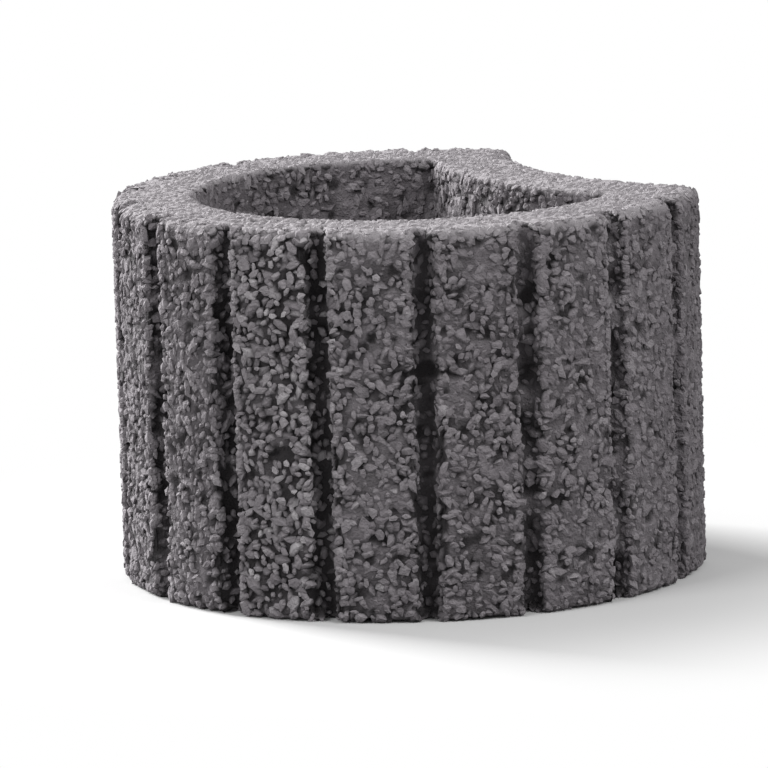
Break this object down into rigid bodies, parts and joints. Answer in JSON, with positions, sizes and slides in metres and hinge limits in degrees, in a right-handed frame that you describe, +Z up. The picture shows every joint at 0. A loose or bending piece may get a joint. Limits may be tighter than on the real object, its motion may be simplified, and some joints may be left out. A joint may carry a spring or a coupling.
{
  "type": "planting ring",
  "caption": "Round open-topped and open-bottomed concrete planting ring with upright grooves outside and a hollow cheek that the next ring of a row nests in.",
  "frame": {"origin": "centre of the round body, on the face that the ring stands on", "axes": "+Z up, out of the planting hollow; +X along the row, out of the hollow cheek towards the next ring; +Y across the row"},
  "size_m": [0.2682, 0.3, 0.195],
  "materials": {
    "concrete": "rough open-pored anthracite concrete, as cast"
  },
  "bodies": {
    "root": {"planting_ring": "concrete"}
  },
  "joints": []
}
